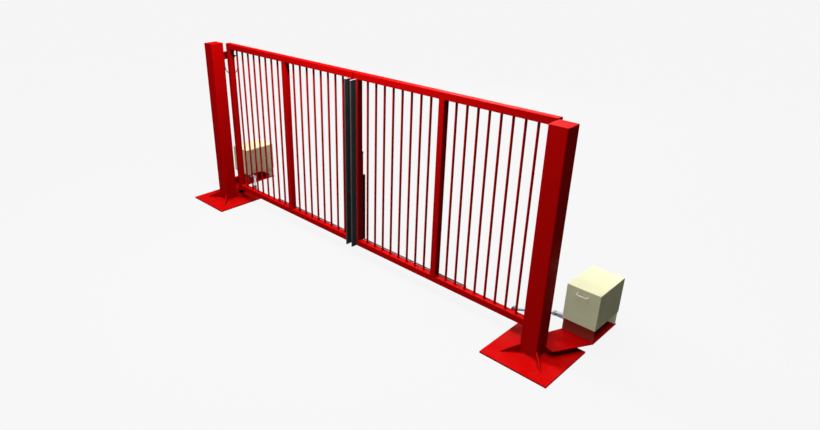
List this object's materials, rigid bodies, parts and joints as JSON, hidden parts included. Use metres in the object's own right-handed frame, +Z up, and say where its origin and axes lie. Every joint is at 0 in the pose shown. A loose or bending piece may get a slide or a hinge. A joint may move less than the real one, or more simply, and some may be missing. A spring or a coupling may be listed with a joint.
{
  "type": "double leaf swing gate",
  "caption": "Powered double-leaf bar swing gate between square posts, with an operator and drive arm for each leaf, safety edges and a drop bolt.",
  "frame": {"origin": "on the ground, midway between the two posts and in the posts' middle plane", "axes": "+X along the gateway, +Y towards the side the leaves open to, +Z up"},
  "size_m": [6.56, 1.377, 2.49],
  "materials": {
    "gate_red": "satin powder coat",
    "pedestal_red": "satin powder coat, darker",
    "cover_cream": "fine-textured powder coat",
    "post_cream": "satin paint",
    "handle_cream": "satin powder coat",
    "deck_steel": "matt paint",
    "gear_case": "sand cast, painted",
    "motor_body": "satin paint",
    "box_grey": "moulded",
    "zinc_fittings": "zinc plated",
    "gland_black": "moulded nylon",
    "housing_black": "matt powder coat",
    "bolt_red": "satin paint",
    "bronze": "machined bronze",
    "lug_steel": "matt paint",
    "edge_aluminium": "anodised",
    "edge_rubber": "matt moulded rubber",
    "arm_steel": "bright galvanised",
    "shaft_steel": "turned steel",
    "cable_black": "matt cable sheath"
  },
  "bodies": {
    "frame": {"base_plates": "gate_red", "post_left": "gate_red", "post_right": "gate_red", "post_caps": "gate_red", "gussets": "gate_red", "platforms": "gate_red", "pedestal_front": "pedestal_red", "pedestal_rear": "cover_cream", "deck_plates": "deck_steel", "deck_posts": "post_cream", "gear_cases": "gear_case", "motors": "motor_body", "control_boxes": "box_grey", "cover_left": "cover_cream", "cover_right": "cover_cream", "cover_handles": "handle_cream", "cover_screws": "zinc_fittings", "hinge_brackets": "gate_red", "hinge_pins": "zinc_fittings", "post_glands": "gland_black", "loop_cable_left": "cable_black", "loop_cable_right": "cable_black"},
    "leaf_left": {"top_rail_left": "gate_red", "bottom_rail_left": "gate_red", "hinge_stile_left": "gate_red", "mid_stile_left": "gate_red", "meeting_stile_left": "gate_red", "bars_left": "gate_red", "hinge_arms_left": "gate_red", "hinge_bushes_left": "bronze", "arm_lug_left": "lug_steel", "edge_carriers_left": "edge_aluminium", "edge_rubber_left": "edge_rubber", "leaf_gland_left": "gland_black"},
    "leaf_right": {"top_rail_right": "gate_red", "bottom_rail_right": "gate_red", "hinge_stile_right": "gate_red", "mid_stile_right": "gate_red", "meeting_stile_right": "gate_red", "bars_right": "gate_red", "hinge_arms_right": "gate_red", "hinge_bushes_right": "bronze", "arm_lug_right": "lug_steel", "edge_carriers_right": "edge_aluminium", "edge_rubber_right": "edge_rubber", "leaf_gland_right": "gland_black", "bolt_housing": "housing_black"},
    "drop_bolt": {"drop_bolt": "bolt_red", "bolt_knob": "bolt_red"},
    "crank_right": {"crank_right": "arm_steel", "crank_pin_right": "zinc_fittings", "output_shaft_right": "shaft_steel"},
    "link_rod_right": {"link_rod_right": "arm_steel"},
    "worm_right": {"worm_shaft_right": "shaft_steel"},
    "crank_left": {"crank_left": "arm_steel", "crank_pin_left": "zinc_fittings", "output_shaft_left": "shaft_steel"},
    "link_rod_left": {"link_rod_left": "arm_steel"},
    "worm_left": {"worm_shaft_left": "shaft_steel"}
  },
  "joints": [
    {"name": "leaf_swing_right", "type": "hinge", "parent": "frame", "child": "leaf_right", "pos_m": [2.808, 0.28, 1.29], "axis": [0, 0, -1], "range_deg": [0, 90], "deforming": ["loop_cable_right"]},
    {"name": "crank_turn_right", "type": "hinge", "parent": "frame", "child": "crank_right", "pos_m": [3.153, 0.525, 0.238], "axis": [0, 0, -1], "range_deg": [0, 90]},
    {"name": "rod_pivot_right", "type": "hinge", "parent": "crank_right", "child": "link_rod_right", "pos_m": [2.785, 0.499, 0.238], "axis": [0, 0, -1], "range_deg": [-90, 0]},
    {"name": "worm_turn_right", "type": "hinge", "parent": "frame", "child": "worm_right", "pos_m": [3.0745, 0.6, 0.355], "axis": [0, 1, 0], "range_deg": [0, 2700]},
    {"name": "leaf_swing_left", "type": "hinge", "parent": "frame", "child": "leaf_left", "pos_m": [-2.808, 0.28, 1.29], "axis": [0, 0, 1], "range_deg": [0, 90], "deforming": ["loop_cable_left"]},
    {"name": "crank_turn_left", "type": "hinge", "parent": "frame", "child": "crank_left", "pos_m": [-3.153, 0.525, 0.238], "axis": [0, 0, 1], "range_deg": [0, 90]},
    {"name": "rod_pivot_left", "type": "hinge", "parent": "crank_left", "child": "link_rod_left", "pos_m": [-2.785, 0.499, 0.238], "axis": [0, 0, 1], "range_deg": [-90, 0]},
    {"name": "worm_turn_left", "type": "hinge", "parent": "frame", "child": "worm_left", "pos_m": [-3.0745, 0.6, 0.355], "axis": [0, 1, 0], "range_deg": [0, 2700]},
    {"name": "drop_bolt_slide", "type": "slide", "parent": "leaf_right", "child": "drop_bolt", "axis": [0, 0, -1], "range_m": [0, 0.185]}
  ],
  "couplings": [
    {"joint": "crank_turn_right", "follows": "leaf_swing_right", "ratio": 1},
    {"joint": "rod_pivot_right", "follows": "leaf_swing_right", "ratio": -1},
    {"joint": "worm_turn_right", "follows": "leaf_swing_right", "ratio": 30},
    {"joint": "crank_turn_left", "follows": "leaf_swing_left", "ratio": 1},
    {"joint": "rod_pivot_left", "follows": "leaf_swing_left", "ratio": -1},
    {"joint": "worm_turn_left", "follows": "leaf_swing_left", "ratio": 30}
  ]
}
